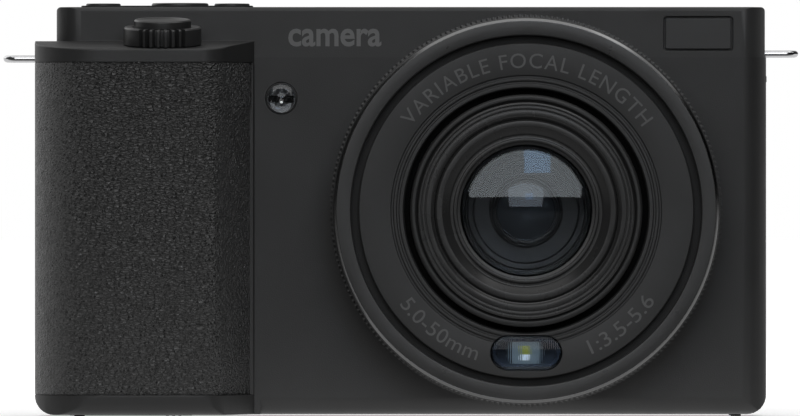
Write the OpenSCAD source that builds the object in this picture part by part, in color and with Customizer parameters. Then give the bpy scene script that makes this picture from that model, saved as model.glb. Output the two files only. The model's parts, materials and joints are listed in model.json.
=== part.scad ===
// Compact digital camera with a retracting zoom lens.
// Frame: +X to the right seen from the front, +Y towards the photographer, +Z up.
// Origin: the mouth of the tripod socket, under the optical axis.

/* [Case] */
// Left end of the lower case, beside the grip
case_left = -79; // [-81:0.5:-79]
// Right end of the case
case_right = 38.8; // [38.8:0.2:40]
// Height of the flat deck
deck_z = 65.6; // [65:0.1:67]
// Front face of the case
front_y = -12.5; // [-12.5:0.1:-12.5]
// Back face of the case
back_y = 12.5; // [12.5:0.1:12.5]
// Wall thickness of the mouldings
wall = 1.6; // [1.4:0.1:1.6]

/* [Grip] */
// Front face of the grip
grip_y = -26; // [-27:0.5:-26]
// Thickness of the grained skin
skin_t = 0.75; // [0.5:0.05:0.8]
// Forward tilt of the grip's top, in degrees
tilt = 5.5; // [4:0.5:6]

/* [Lens] */
// Height of the optical axis
lens_z = 32.8; // [32.8:0.1:33]
// Outer radius of the control ring
ring_r = 31.5; // [31.2:0.1:31.5]
// Travel of the outer zoom tube
tube_travel = 12; // [8:1:12]

/* [Controls] */
// Radius of the shutter button
shutter_r = 4.6; // [4:0.1:4.7]
// Radius of the four way pad
pad_r = 9.2; // [8.5:0.1:9.2]

/* [Hidden] */
$fn = 64;
eps = 0.01;
far = 100;

// Case: corner radii, seams and the upper case
plan_r = 4;            // corners seen from above
foot_r = 2.8;          // rounding along the bottom edges
end_r = 3.2;           // bottom corners seen from the front
top_r = 0.7;           // rounding along the deck's edge
arc_n = 8;             // flats in each corner
deck_left = -75.6;     // the deck is shorter than the lower case
deck_right = case_right - 0.2;
seam_z = 57.5;         // underside of the top cover
grip_seam_z = 56.7;    // the same, on the grip
skin_z0 = 3.2;         // lower edge of the grained skin
shelf_z = 60.1;        // top of the grip where it meets the deck
lid_wall = 1.5;        // wall of the top cover

// Grip outline
grip_end_x = -68.5;    // centre of the wide outer corner
grip_end_r = 10.5;
grip_nose_x = -52.1;   // centre of the tight inner corner
grip_nose_r = 4;
grip_slant = 23;       // slant of the inner flank, in degrees
grip_root_x = -43.7;   // where the flank meets the front face
skin_back_y = -1;      // the skin wraps round the end to here
skin_root_y = -12.8;   // and stops here on the flank

// Shutter button and zoom lever, on the tilted grip top
lever_x = -58.4;
lever_y = -19.6;
lever_r = 6.25;
lever_h = 2.95;
button_h = 4.15;
shutter_travel = 0.8;

// Deck controls
plate_z = deck_z + 0.3;
plate_x0 = -71.7;
plate_x1 = -44;
plate_y = 6;
deck_button_z = deck_z + 0.75;
power_x = -55.8;
power_r = 4.6;
record_x = -47.4;
record_r = 2.85;
mode_x = -68.2;
mode_r = 2.8;
lamp_x = -63;

// Rear controls
pad_x = -56;
pad_z = 27;
ok_r = 3.4;
key_r = 2.6;
menu_x = -66;
play_x = -47;
key_z = 11;
key_y = back_y + 0.7;

// Screen
glass_x0 = -33.4;
glass_x1 = 35.9;
glass_z0 = 5.1;
glass_z1 = 56.2;

// Lens, radii from the axis and planes along Y
ring_front = -27;
plate_front = -26.4;
base_front = -25;
base_r = 29.6;
root_r = 28.3;
root_y = -14.8;
barrel_r = 20.2;
bore_r = 18.75;
barrel_end = 1.5;
tube1_r = 18.65;
tube2_r = 17.4;
tube3_r = 14.7;
flash_z = 10;
flash_w = 11.2;
flash_h = 5.3;

// Gears
module_mm = 0.5;
ring_teeth = 88;
pinion_teeth = 12;
pressure = 25;
backlash = 0.08;
gear_gap = (ring_teeth + pinion_teeth) * module_mm / 2;
pinion_dir = 225;
pinion_x = gear_gap * cos(pinion_dir);
pinion_z = lens_z + gear_gap * sin(pinion_dir);

// Battery bay
bay_x0 = -73.3;
bay_x1 = -57.6;
bay_y0 = -21;
bay_y1 = 7.6;
hinge_x = -73;
hinge_z = 0.75;
door_x1 = -53.6;
door_y0 = -20.4;
door_y1 = 7;
latch_y = -5;

// Side door
port_z0 = 37.2;
port_z1 = 54.8;
port_hinge_x = case_right - 0.6;
port_hinge_z = port_z0 + 0.6;

// Strap loops
loop_r = 0.55;
loop_reach = 5.3;
loop_half = 4.5;
loop_bend = 1.6;
loop_left_z = 57.3;
loop_right_z = 58.1;

// Fasteners, as [x, y] under the case
screws = [[-47, 6.5], [-47, -7.5], [22, 6.5], [22, -7.5]];
// Feet, as [x, y]
foot_places = [[-71.7, -22], [-71.7, 8.8], [33.9, -8.2], [33.9, 8.2]];
foot_h = 0.35;

// ---------- outlines ----------

function arc(cx, cy, r, a0, a1, n = arc_n) =
    [for (i = [0:n]) let (a = a0 + (a1 - a0) * i / n) [cx + r * cos(a), cy + r * sin(a)]];

// Rectangle with a radius at the low corners and one at the high corners
function plate_outline(x0, y0, x1, y1, low, high) = concat(
    arc(x0 + low, y0 + low, low, 180, 270), arc(x1 - low, y0 + low, low, 270, 360),
    arc(x1 - high, y1 - high, high, 0, 90), arc(x0 + high, y1 - high, high, 90, 180));

// Lower case seen from above, drawn in by i
function lower_plan(i) =
    let (nose = grip_nose_r - i, run = front_y + i - (grip_y + grip_nose_r - nose * sin(grip_slant)))
    concat(
        arc(grip_end_x, grip_y + grip_end_r, case_left < -79 ? grip_end_x - case_left - i : grip_end_r - i,
            180, 270),
        arc(grip_nose_x, grip_y + grip_nose_r, nose, 270, 360 - grip_slant, 4),
        [[grip_nose_x + nose * cos(grip_slant) + run * tan(grip_slant), front_y + i]],
        arc(case_right - plan_r, front_y + plan_r, plan_r - i, 270, 360),
        arc(case_right - plan_r, back_y - plan_r, plan_r - i, 0, 90),
        arc(case_left + plan_r, back_y - plan_r, plan_r - i, 90, 180));

function slope_z(y) = shelf_z + (y - front_y) * tan(tilt);

// ---------- helpers ----------

module along_z(points, z0, z1) {
    translate([0, 0, z0]) linear_extrude(z1 - z0) polygon(points);
}

module along_y(points, y0, y1) {
    translate([0, y1, 0]) rotate([90, 0, 0]) linear_extrude(y1 - y0) polygon(points);
}

module along_x(points, x0, x1) {
    translate([x0, 0, 0]) rotate([90, 0, 90]) linear_extrude(x1 - x0) polygon(points);
}

module rod_y(r, y0, y1, x = 0, z = lens_z) {
    translate([x, y1, z]) rotate([90, 0, 0]) cylinder(r = r, h = y1 - y0);
}

module rod_x(r, x0, x1, y, z) {
    translate([x0, y, z]) rotate([0, 90, 0]) cylinder(r = r, h = x1 - x0);
}

module block(low, high) {
    translate(low) cube(high - low);
}

// Turns [radius, y] points about the optical axis
module turned(points) {
    translate([0, 0, lens_z]) rotate([-90, 0, 0]) rotate_extrude() polygon(points);
}

module tube_y(r0, r1, y0, y1) {
    turned([[r0, y0], [r1, y0], [r1, y1], [r0, y1]]);
}

// Local frame of the tilted grip top, at the shutter button
module on_grip_top() {
    translate([lever_x, lever_y, slope_z(lever_y)]) rotate([tilt, 0, 0]) children();
}

module pill_y(w, h, y0, y1, x, z) {
    r = h / 2 - eps;
    along_y([for (p = plate_outline(-w / 2, -h / 2, w / 2, h / 2, r, r)) p + [x, z]], y0, y1);
}

// Push button along Y: a cap through the wall and a flange behind it
module key_y_shape(r, flange, y0, y1, y2, x, z) {
    rod_y(r, y0, y2, x, z);
    rod_y(flange, y0, y1, x, z);
}

// Gear blank in its own plane, with involute flanks
function roll(base, r) = sqrt(max(0, pow(r / base, 2) - 1));
function flank_angle(base, r) = roll(base, r) * 180 / PI - atan(roll(base, r));

function gear_outline(teeth) =
    let (pitch = teeth * module_mm / 2, base = pitch * cos(pressure), tip = pitch + 0.8 * module_mm,
         root = pitch - module_mm, start = max(base, root),
         half = 90 / teeth - backlash / pitch * 90 / PI + flank_angle(base, pitch),
         radii = [for (k = [0:3]) start + (tip - start) * k / 3])
    [for (t = [0:teeth - 1]) let (mid = 360 * t / teeth)
        each concat(
            root < base ? [[root * cos(mid - half), root * sin(mid - half)]] : [],
            [for (r = radii) let (a = mid - half + flank_angle(base, r)) [r * cos(a), r * sin(a)]],
            [for (k = [3:-1:0]) let (a = mid + half - flank_angle(base, radii[k]))
                [radii[k] * cos(a), radii[k] * sin(a)]],
            root < base ? [[root * cos(mid + half), root * sin(mid + half)]] : [])];

module gear_y(teeth, y0, y1, turn) {
    translate([0, y1, 0]) rotate([90, 0, 0]) rotate([0, 0, turn])
        linear_extrude(y1 - y0) polygon(gear_outline(teeth));
}

// ---------- case ----------

module lower_solid(i) {
    intersection() {
        along_z(lower_plan(i), i - eps, seam_z + 6);
        along_y(plate_outline(case_left + i, i, case_right - i, 80, end_r - i, 1), -far, far);
        union() {
            along_x(plate_outline(front_y + i, i, back_y - i, 80, foot_r - i, 1), -far, far);
            along_x(plate_outline(grip_y + i, i, 0, 80, foot_r - i, 1), -far, grip_root_x + 1);
        }
    }
}

module above_seam() {
    block([-far, -far, seam_z], [far, far, far]);
    block([-far, -far, grip_seam_z], [grip_root_x, 0, far]);
}

module deck_solid(i) {
    low = i > 0 ? seam_z - 6 : seam_z;
    intersection() {
        along_z(plate_outline(deck_left + i, front_y + i, deck_right - i, back_y - i, plan_r - i, plan_r - i),
            low, deck_z - i);
        along_y(plate_outline(deck_left + i, 0, deck_right - i, deck_z - i, 1, top_r), -far, far);
        along_x(plate_outline(front_y + i, 0, back_y - i, deck_z - i, 1, top_r), -far, far);
    }
}

module cap_solid(i) {
    low = i > 0 ? seam_z - 6 : 0;
    intersection() {
        along_z(lower_plan(i), low, shelf_z - i);
        along_x([[grip_y, low], [back_y, low], [back_y, shelf_z - i], [front_y, shelf_z - i],
                 [grip_y, slope_z(grip_y) - i]], -far, grip_root_x - i * tan(grip_slant));
        if (i == 0) above_seam();
    }
}

// Region that the grained skin covers
module skin_region() {
    block([-far, -far, skin_z0], [grip_root_x, skin_root_y, grip_seam_z]);
    block([-far, -far, skin_z0], [grip_end_x, skin_back_y, grip_seam_z]);
}

module ring_round_plan(outer, inner) {
    difference() {
        along_z(lower_plan(outer), skin_z0, grip_seam_z);
        along_z(lower_plan(inner), 0, 80);
    }
}

module strap_holes() {
    for (y = [-loop_half + loop_r, loop_half - loop_r]) {
        rod_x(loop_r + 0.1, case_left - 2, case_left + 4, y, loop_left_z);
        rod_x(loop_r + 0.1, case_right - 4, case_right + 2, y, loop_right_z);
    }
}

module underside_cuts() {
    block([hinge_x - 1, door_y0 - 0.2, -1], [door_x1 + 0.2, door_y1 + 0.2, wall + 0.5]);
    rod_y(0.43, door_y0 - 2, door_y1 + 2, hinge_x, hinge_z);
    translate([0, 0, -1]) cylinder(r = 5.25, h = 4);
    for (p = screws) translate([p[0], p[1], -1]) {
        cylinder(r = 1.4, h = 1.9);
        cylinder(r = 0.8, h = 4);
    }
}

module front_cover() {
    color([0.19, 0.19, 0.19]) difference() {
        lower_solid(0);
        lower_solid(wall);
        block([-far, 0, -1], [far, far, far]);
        above_seam();
        intersection() {
            ring_round_plan(-0.5, skin_t + 0.05);
            skin_region();
        }
        rod_y(root_r + 0.1, -20, 0);
        rod_y(2.55, -20, 0, -39.35, 50.9);
        strap_holes();
        underside_cuts();
        port_opening();
    }
}

module port_opening() {
    block([case_right - wall - 1, -4.5, port_z0 - 0.1], [case_right + 1, 4.5, port_z1 + 0.15]);
}

module rear_cover() {
    color([0.17, 0.17, 0.17]) difference() {
        lower_solid(0);
        lower_solid(wall);
        block([-far, -far, -1], [far, 0, far]);
        above_seam();
        block([glass_x0 - 0.2, 0, glass_z0 - 0.2], [glass_x1 + 0.2, far, glass_z1 + 0.2]);
        rod_y(pad_r + 0.3, 5, 20, pad_x, pad_z);
        for (x = [menu_x, play_x]) rod_y(key_r + 0.15, 5, 20, x, key_z);
        strap_holes();
        underside_cuts();
        port_opening();
    }
}

module top_cover() {
    color([0.2, 0.2, 0.2]) difference() {
        union() {
            deck_solid(0);
            cap_solid(0);
        }
        deck_solid(lid_wall);
        cap_solid(lid_wall);
        rod_y(root_r + 0.1, -20, 0);
        // seat of the front window panel
        along_y(plate_outline(22.2, 58.5, 33.4, 64.1, 0.6, 0.6), -20, front_y + 0.8);
        // seat of the control plate, and the holes of its buttons
        along_z(plate_outline(plate_x0 - 0.05, -plate_y - 0.05, plate_x1 + 0.05, plate_y + 0.05, 2, 2),
            deck_z - 0.5, far);
        deck_holes();
        on_grip_top() translate([0, 0, -4]) cylinder(r = 3.1, h = 8);
        strap_holes();
        for (x = [-30, -26]) translate([x, 0, deck_z - 3]) cylinder(r = 0.4, h = 5);
    }
}

module deck_holes() {
    for (b = [[power_x, power_r], [record_x, record_r], [mode_x, mode_r]])
        translate([b[0], 0, deck_z - 3]) cylinder(r = b[1] + 0.15, h = 5);
}

module grip_skin() {
    color([0.14, 0.14, 0.14]) intersection() {
        ring_round_plan(0, skin_t);
        skin_region();
    }
}

module thumb_pad() {
    color([0.12, 0.12, 0.12]) intersection() {
        along_y(plate_outline(-76, 38, -61, 55, 3, 3), back_y, back_y + 2);
        along_z(concat([[-77, back_y], [-60, back_y], [-60, back_y + 0.4]],
            arc(-68.5, back_y - 8.2, 10, 60, 120), [[-77, back_y + 0.4]]), 30, 60);
    }
}

module front_window_panel() {
    color([0.18, 0.18, 0.18])
        along_y(plate_outline(22.55, 58.85, 33.05, 63.75, 0.3, 0.3), front_y, front_y + 0.8);
}

module control_plate() {
    color([0.15, 0.15, 0.15]) difference() {
        along_z(plate_outline(plate_x0, -plate_y, plate_x1, plate_y, 2, 2), deck_z - 0.5, plate_z);
        deck_holes();
        block([lamp_x - 1.8, -0.5, plate_z - 0.2], [lamp_x + 1.8, 0.5, far]);
    }
}

module strap_loop(x, side, z) {
    inner = x - side * 2.3;
    tip = x + side * (loop_reach - loop_r);
    bend_x = tip - side * loop_bend;
    leg = loop_half - loop_r;
    color([0.75, 0.75, 0.76]) union() {
        for (s = [-1, 1]) {
            rod_x(loop_r, min(inner, bend_x), max(inner, bend_x), s * leg, z);
            translate([bend_x, s * (leg - loop_bend), z])
                rotate([0, 0, side > 0 ? (s > 0 ? 0 : -90) : (s > 0 ? 90 : 180)])
                    rotate_extrude(angle = 90) translate([loop_bend, 0]) circle(r = loop_r);
        }
        translate([tip, leg - loop_bend, z]) rotate([90, 0, 0])
            cylinder(r = loop_r, h = 2 * (leg - loop_bend));
        block([min(inner, inner + side * 0.6), -loop_half - 0.4, z - 1],
            [max(inner, inner + side * 0.6), loop_half + 0.4, z + 1]);
    }
}

module strap_loop_left() {
    strap_loop(case_left, -1, loop_left_z);
}

module strap_loop_right() {
    strap_loop(case_right, 1, loop_right_z);
}

module feet() {
    color([0.1, 0.1, 0.1]) for (p = foot_places) translate([p[0], p[1], -foot_h])
        cylinder(r = 0.85, h = foot_h);
}

module tripod_socket() {
    color([0.72, 0.6, 0.35]) difference() {
        union() {
            cylinder(r = 5.15, h = 6.2);
            translate([0, 0, wall + 0.1]) cylinder(r = 7, h = 1.4);
        }
        translate([0, 0, -1]) cylinder(r = 2.55, h = 6.6);
    }
}

module case_screws() {
    color([0.25, 0.25, 0.26]) for (p = screws) translate([p[0], p[1], 0.15]) difference() {
        union() {
            cylinder(r = 1.3, h = 0.7);
            cylinder(r = 0.7, h = 3.2);
        }
        for (a = [0, 90]) rotate([0, 0, a]) translate([-0.7, -0.15, -1]) cube([1.4, 0.3, 1.4]);
    }
}

// ---------- lens ----------

module lens_base() {
    color([0.12, 0.12, 0.12]) difference() {
        turned([[barrel_r + 0.1, base_front], [base_r, base_front], [base_r, root_y], [root_r, root_y],
            [root_r, -10.8], [30.5, -10.8], [30.5, -9.6], [barrel_r + 0.1, -9.6]]);
        block([-5.7, base_front - 1, flash_z - 2.5], [5.7, base_front + 4, flash_z + 2.5]);
    }
}

module bezel_plate() {
    color([0.19, 0.19, 0.19]) difference() {
        turned([[19.6, base_front], [19.6, -26.1], [19.8, plate_front], [20.4, plate_front],
            [20.45, -26.1], [20.75, -26.1], [20.8, plate_front], [21.3, plate_front], [21.35, -26.1],
            [21.65, -26.1], [21.7, plate_front], [26.7, plate_front], [26.9, -26.2], [26.9, base_front]]);
        pill_y(flash_w + 0.2, flash_h + 0.2, -30, -20, 0, flash_z);
    }
}

module control_ring() {
    color([0.15, 0.15, 0.15]) turned([[base_r + 0.1, -25.1], [ring_r - 0.3, -25.1], [ring_r, -24.8],
        [ring_r, -13.5], [ring_r - 0.3, -13.2], [root_r + 0.1, -13.2], [root_r + 0.1, root_y + 0.1],
        [base_r + 0.1, root_y + 0.1]]);
}

module control_ring_trim() {
    color([0.2, 0.2, 0.2]) turned([[28.6, -25.1], [28.6, ring_front + 0.2], [28.8, ring_front],
        [30.4, ring_front], [31, ring_front + 0.6], [31, -25.1]]);
}

module fixed_barrel() {
    color([0.1, 0.1, 0.1]) difference() {
        turned([[bore_r, barrel_end], [bore_r, -22], [19.5, -22], [19.5, base_front + 0.1],
            [barrel_r, base_front + 0.1], [barrel_r, 0.3], [23, 0.3], [23, barrel_end]]);
        rod_y(4.4, -2, 5, pinion_x, pinion_z);
    }
}

module drive_ring() {
    color([0.85, 0.85, 0.82]) difference() {
        union() {
            translate([0, 0, lens_z]) gear_y(ring_teeth, -9.2, -5.6, pinion_dir);
            tube_y(barrel_r + 0.1, 20.9, -9.2, 0);
        }
        rod_y(barrel_r + 0.1, -20, 20);
    }
}

module motor_pinion() {
    color([0.8, 0.7, 0.4]) difference() {
        translate([pinion_x, 0, pinion_z])
            gear_y(pinion_teeth, -9.1, -5.5, pinion_dir + 180 + 180 / pinion_teeth);
        rod_y(0.55, -20, 20, pinion_x, pinion_z);
    }
}

module zoom_motor() {
    color([0.6, 0.6, 0.62]) union() {
        rod_y(3.9, -5, 3, pinion_x, pinion_z);
        rod_y(0.5, -9.3, -4.9, pinion_x, pinion_z);
    }
}

module zoom_tube_outer() {
    color([0.15, 0.15, 0.15]) turned([[tube2_r + 0.2, -27.1], [tube2_r + 0.35, -27.3], [18.4, -27.3],
        [tube1_r, -27], [tube1_r, -3], [tube2_r + 0.2, -3]]);
}

module zoom_tube_middle() {
    color([0.18, 0.18, 0.18]) turned([[15.25, -26.3], [15.25, -27.5], [15.4, -27.7], [16.05, -27.7],
        [16.05, -27.45], [16.3, -27.45], [16.3, -27.7], [16.7, -27.7], [16.7, -27.45], [16.95, -27.45],
        [16.95, -27.7], [17.2, -27.7], [tube2_r, -27.5], [tube2_r, -4], [16.3, -4], [16.3, -26.3]]);
}

module zoom_tube_inner() {
    color([0.16, 0.16, 0.16]) turned([[10.6, -22], [10.6, -26], [11.1, -26], [11.15, -26.4],
        [11.6, -26.4], [11.7, -26.1], [12.2, -26.1], [13.3, -27.2], [13.4, -27.4], [14.5, -27.4],
        [tube3_r, -27.2], [tube3_r, -8], [16.15, -8], [16.15, -6.5], [13.6, -6.5], [13.6, -22]]);
}

module front_lens() {
    color([0.5, 0.6, 0.7, 0.5]) turned(concat(arc(0, -4.3, 20.7, 270, 299),
        [[10.5, -22.5], [0, -22.5]]));
}

module shutter_unit() {
    color([0.08, 0.08, 0.08]) turned([[4.6, -19], [13.5, -19], [13.5, -16.5], [7.2, -16.5],
        [7.2, -12.5], [6, -12.5], [6, -16.5], [4.6, -16.5]]);
}

module rear_lens() {
    color([0.5, 0.6, 0.7, 0.5]) turned(concat([[0, -12.8], [0, -16.4], [5.9, -15.6], [5.9, -13.2]]));
}

module focus_carrier() {
    color([0.1, 0.1, 0.1]) difference() {
        union() {
            rod_y(7.2, -3.5, -0.5);
            for (s = [-1, 1]) rod_y(1.4, -3.5, -0.5, s * 9.5);
            block([-9.5, -3.5, lens_z - 1.2], [9.5, -0.5, lens_z + 1.2]);
        }
        rod_y(5.6, -10, 10);
        for (s = [-1, 1]) rod_y(0.65, -10, 10, s * 9.5);
    }
}

module focus_lens() {
    color([0.5, 0.6, 0.7, 0.5]) turned([[0, -3.6], [5.55, -3], [5.55, -1], [0, -0.6]]);
}

module focus_rods() {
    color([0.8, 0.8, 0.82]) for (s = [-1, 1]) rod_y(0.6, -9, barrel_end, s * 9.5);
}

module lens_mount_plate() {
    color([0.55, 0.55, 0.57]) difference() {
        rod_y(23.4, 1.6, 3);
        rod_y(4.4, -2, 5, pinion_x, pinion_z);
        block([-5, 0, lens_z - 4], [5, 5, lens_z + 4]);
    }
}

module sensor_board() {
    color([0.1, 0.3, 0.15]) union() {
        block([-10, 4.2, lens_z - 9], [10, 5, lens_z + 9]);
        block([-4.4, 3.1, lens_z - 3.6], [4.4, 4.2, lens_z + 3.6]);
    }
}

// ---------- lamps ----------

module flash_window() {
    color([0.8, 0.85, 0.9, 0.4]) pill_y(flash_w, flash_h, plate_front - 0.1, base_front - 0.6, 0, flash_z);
}

module flash_reflector() {
    color([0.8, 0.8, 0.8]) difference() {
        pill_y(10.8, 4.5, base_front - 0.5, base_front + 3.5, 0, flash_z);
        pill_y(9.4, 3.4, base_front - 1, base_front + 2.6, 0, flash_z);
    }
}

module flash_led() {
    color([0.9, 0.8, 0.25])
        block([-1.2, base_front + 1.8, flash_z - 1.2], [1.2, base_front + 2.55, flash_z + 1.2]);
}

module af_lamp_lens() {
    color([0.5, 0.5, 0.52, 0.5]) union() {
        rod_y(2.45, -12.9, -10.2, -39.35, 50.9);
        rod_y(3.2, -10.8, -10, -39.35, 50.9);
    }
}

// ---------- inside ----------

module chassis() {
    color([0.6, 0.6, 0.62]) difference() {
        block([-53, 6.2, 3.5], [36.5, 6.9, 56]);
        for (x = [-42, 26]) along_y(plate_outline(x - 6, 14, x + 6, 46, 3, 3), 5, 8);
    }
}

module main_board() {
    color([0.1, 0.3, 0.15]) difference() {
        union() {
            block([-52, 3.4, 7], [36.5, 4.6, 55]);
            block([-46, 2.2, 24], [-34, 3.4, 36]);
            block([-44, 2.4, 40], [-36, 3.4, 48]);
        }
        rod_y(24, -5, 10);
        block([-20, -5, 40], [20, 10, 80]);
    }
}

module lcd_module() {
    color([0.5, 0.5, 0.52]) block([-31.5, 7.4, 7.5], [34, 10.7, 54.5]);
}

module lcd_glass() {
    color([0.03, 0.03, 0.04])
        along_y(plate_outline(glass_x0, glass_z0, glass_x1, glass_z1, 1.5, 1.5), 11.2, back_y + 0.3);
}

module battery() {
    color([0.25, 0.27, 0.32]) along_z(plate_outline(-72.4, -20.2, -62.9, 6.8, 2, 2), 3, 43);
}

module battery_holder() {
    color([0.12, 0.12, 0.12]) difference() {
        block([bay_x0, bay_y0, 2.7], [bay_x1, bay_y1, 46]);
        block([-72.6, -20.4, 0], [-62.7, 7, 45.2]);
        block([-60.8, -19.2, 0], [-58.3, 5.2, 35.6]);
    }
}

module battery_contacts() {
    color([0.85, 0.7, 0.3]) block([-72, -8, 43.2], [-63.3, 2, 45.1]);
}

module battery_door() {
    color([0.17, 0.17, 0.17]) difference() {
        union() {
            rod_y(0.85, door_y0, door_y1, hinge_x, hinge_z);
            block([hinge_x, door_y0, -0.1], [door_x1, door_y1, 1.4]);
        }
        rod_y(0.45, door_y0 - 1, door_y1 + 1, hinge_x, hinge_z);
        // track of the latch
        block([-60.7, latch_y - 3.1, -1], [-55, latch_y + 3.1, 0.7]);
        block([-60, latch_y - 1.1, -1], [-55.8, latch_y + 1.1, 5]);
    }
}

module door_pin() {
    color([0.75, 0.75, 0.77]) rod_y(0.4, door_y0 - 1.9, door_y1 + 1.9, hinge_x, hinge_z);
}

module door_latch() {
    color([0.2, 0.2, 0.2]) union() {
        block([-58.3, latch_y - 3, -0.1], [-55.1, latch_y + 3, 0.6]);
        block([-57.6, latch_y - 1, 0.5], [-56, latch_y + 1, 1.6]);
        block([-58.2, latch_y - 2.2, 1.5], [-55.2, latch_y + 2.2, 2.1]);
        for (x = [-58, -57, -56]) block([x, latch_y - 2.5, -0.3], [x + 0.5, latch_y + 2.5, 0]);
    }
}

module memory_card() {
    color([0.1, 0.1, 0.3]) difference() {
        block([-60.6, -19, 3.2], [-58.5, 5, 35.2]);
        translate([-61, 5, 31.2]) rotate([45, 0, 0]) cube([3, 8, 8]);
    }
}

module port_door() {
    color([0.16, 0.16, 0.16]) union() {
        rod_y(0.6, -4.3, 4.3, port_hinge_x, port_hinge_z);
        block([case_right - 1.2, -4.3, port_hinge_z], [case_right, 4.3, port_z1]);
        along_y([[case_right - 0.1, 53.3], [case_right + 0.2, 53.6], [case_right + 0.2, 54.5],
            [case_right - 0.1, 54.7]], -2.5, 2.5);
    }
}

module usb_port() {
    color([0.7, 0.7, 0.72]) difference() {
        along_y([for (p = plate_outline(29.6, 41.8, 36.9, 50.8, 0.2, 0.2)) p], -1.6, 1.6);
        block([30.4, -1.25, 42.2], [40, 1.25, 50.4]);
    }
}

// ---------- controls ----------

module shutter_button() {
    color([0.18, 0.18, 0.18]) on_grip_top() difference() {
        union() {
            translate([0, 0, 2.05]) cylinder(r = shutter_r, h = button_h - 2.35);
            translate([0, 0, button_h - 0.3]) cylinder(r1 = shutter_r, r2 = shutter_r - 0.3, h = 0.3);
            translate([0, 0, -3.5]) cylinder(r = 1.3, h = 6);
        }
        translate([0, 0, button_h + 29.55]) sphere(r = 30);
    }
}

module zoom_lever() {
    color([0.16, 0.16, 0.16]) on_grip_top() difference() {
        union() {
            translate([0, 0, 0.15]) cylinder(r = lever_r, h = lever_h - 0.15);
            for (i = [-3:3]) rotate([0, 0, 270 + i * 11]) translate([lever_r - 0.4, -0.28, 0.25])
                cube([0.7, 0.56, lever_h - 0.35]);
            translate([0, 0, -2.6]) cylinder(r = 3.02, h = 3);
        }
        translate([0, 0, 0.95]) cylinder(r = shutter_r + 0.15, h = 5);
        translate([0, 0, -5]) cylinder(r = 1.6, h = 10);
    }
}

// A flat cone of wire that closes into its own coils
module shutter_spring() {
    steps = 50;
    sides = 6;
    turns = 2.5;
    wire = 0.14;
    points = [for (i = [0:steps]) let (a = 360 * turns * i / steps, r = 4.1 - 2 * i / steps,
        z = 1.1 + 0.8 * i / steps) for (k = [0:sides - 1]) let (b = 360 * k / sides)
            [(r + wire * cos(b)) * cos(a), (r + wire * cos(b)) * sin(a), z + wire * sin(b)]];
    faces = concat(
        [[for (k = [0:sides - 1]) k]],
        [for (i = [0:steps - 1]) for (k = [0:sides - 1]) let (n = (k + 1) % sides)
            [i * sides + k, (i + 1) * sides + k, i * sides + n]],
        [for (i = [0:steps - 1]) for (k = [0:sides - 1]) let (n = (k + 1) % sides)
            [i * sides + n, (i + 1) * sides + k, (i + 1) * sides + n]],
        [[for (k = [sides - 1:-1:0]) steps * sides + k]]);
    color([0.8, 0.8, 0.82]) on_grip_top() polyhedron(points, faces);
}

module shutter_switch() {
    color([0.3, 0.3, 0.3]) on_grip_top() union() {
        translate([-2, -2, -5.9]) cube([4, 4, 1.3]);
        translate([-4, -3.4, -6.5]) cube([8, 6.8, 0.6]);
    }
}

module deck_button(x, r) {
    color([0.16, 0.16, 0.16]) translate([x, 0, 0]) difference() {
        union() {
            translate([0, 0, 62.9]) cylinder(r = r, h = deck_button_z - 63.1);
            translate([0, 0, deck_button_z - 0.2]) cylinder(r1 = r, r2 = r - 0.2, h = 0.2);
            translate([0, 0, 62.9]) cylinder(r = r + 0.3, h = 0.8);
        }
        translate([0, 0, deck_button_z + 39.85]) sphere(r = 40);
    }
}

module power_button() {
    deck_button(power_x, power_r);
}

module record_button() {
    deck_button(record_x, record_r);
}

module mode_button() {
    deck_button(mode_x, mode_r);
}

module play_button() {
    color([0.16, 0.16, 0.16]) key_y_shape(key_r, key_r + 0.8, 9.4, 10.6, key_y, play_x, key_z);
}

module menu_button() {
    color([0.16, 0.16, 0.16]) key_y_shape(key_r, key_r + 0.8, 9.4, 10.6, key_y, menu_x, key_z);
}

module pad_pivot() {
    color([0.3, 0.3, 0.3]) difference() {
        rod_y(7, 8.1, 8.6, pad_x, pad_z);
        rod_y(5.2, 5, 10, pad_x, pad_z);
    }
}

module four_way_pad() {
    color([0.16, 0.16, 0.16]) difference() {
        key_y_shape(pad_r, pad_r + 0.8, 9.3, 10.1, key_y, pad_x, pad_z);
        rod_y(ok_r + 0.6, 5, 20, pad_x, pad_z);
    }
}

module ok_button() {
    color([0.16, 0.16, 0.16]) key_y_shape(ok_r, ok_r + 1.2, 8.4, 8.8, key_y + 0.1, pad_x, pad_z);
}

front_cover();
rear_cover();
top_cover();
grip_skin();
thumb_pad();
front_window_panel();
control_plate();
strap_loop_left();
strap_loop_right();
feet();
tripod_socket();
case_screws();
lens_base();
bezel_plate();
control_ring();
control_ring_trim();
fixed_barrel();
drive_ring();
motor_pinion();
zoom_motor();
zoom_tube_outer();
zoom_tube_middle();
zoom_tube_inner();
front_lens();
shutter_unit();
rear_lens();
focus_carrier();
focus_lens();
focus_rods();
sensor_board();
lens_mount_plate();
flash_window();
flash_reflector();
flash_led();
af_lamp_lens();
chassis();
main_board();
lcd_module();
lcd_glass();
battery();
battery_holder();
battery_contacts();
battery_door();
door_pin();
door_latch();
memory_card();
port_door();
usb_port();
shutter_button();
zoom_lever();
shutter_switch();
shutter_spring();
power_button();
record_button();
mode_button();
play_button();
menu_button();
pad_pivot();
four_way_pad();
ok_button();
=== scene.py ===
import json
import math

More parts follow.
